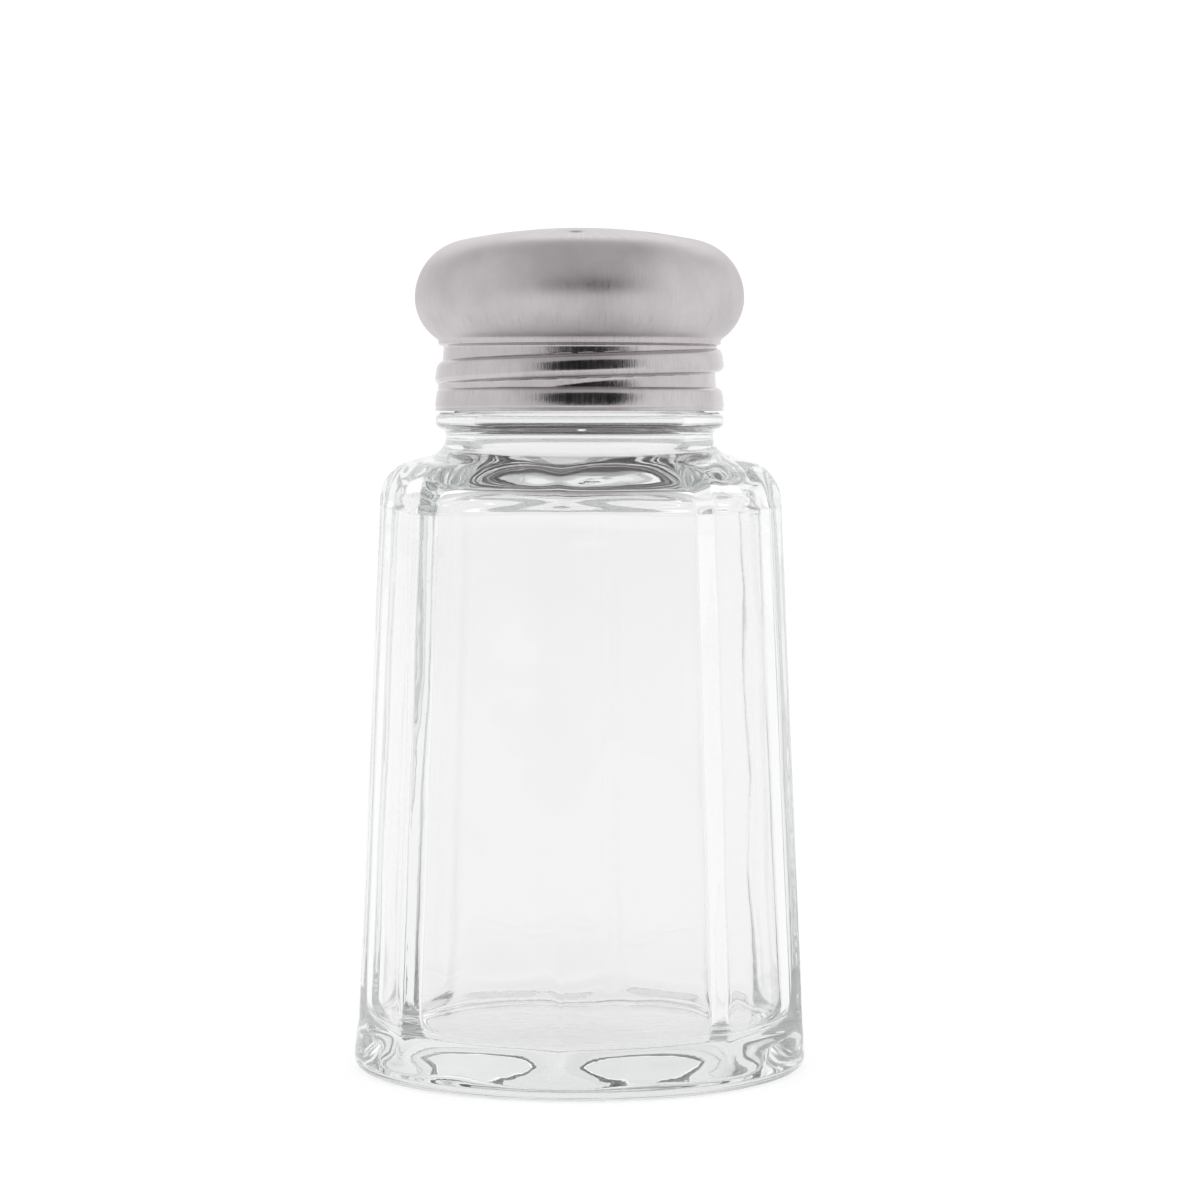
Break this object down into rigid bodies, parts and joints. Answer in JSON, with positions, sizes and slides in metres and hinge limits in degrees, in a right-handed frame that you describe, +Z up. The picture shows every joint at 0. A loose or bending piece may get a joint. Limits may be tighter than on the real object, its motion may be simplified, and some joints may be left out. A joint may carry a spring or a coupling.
{
  "type": "salt and pepper shaker",
  "caption": "Clear panelled glass table shaker with a flat-sided tapering body and a perforated mushroom-shaped metal screw cap.",
  "frame": {"origin": "centre of the foot, on the surface that the jar stands on", "axes": "+Z up along the axis of the jar and cap; +X and +Y square to the middle of a panel each"},
  "size_m": [0.0532, 0.0532, 0.0985],
  "materials": {
    "clear_glass": "gloss",
    "stainless_steel": "satin"
  },
  "bodies": {
    "jar": {"glass_jar": "clear_glass"},
    "cap": {"shaker_cap": "stainless_steel"}
  },
  "joints": [
    {"name": "cap_lift", "type": "slide", "parent": "jar", "child": "cap", "axis": [0, 0, 1], "range_m": [0, 0.035]}
  ]
}
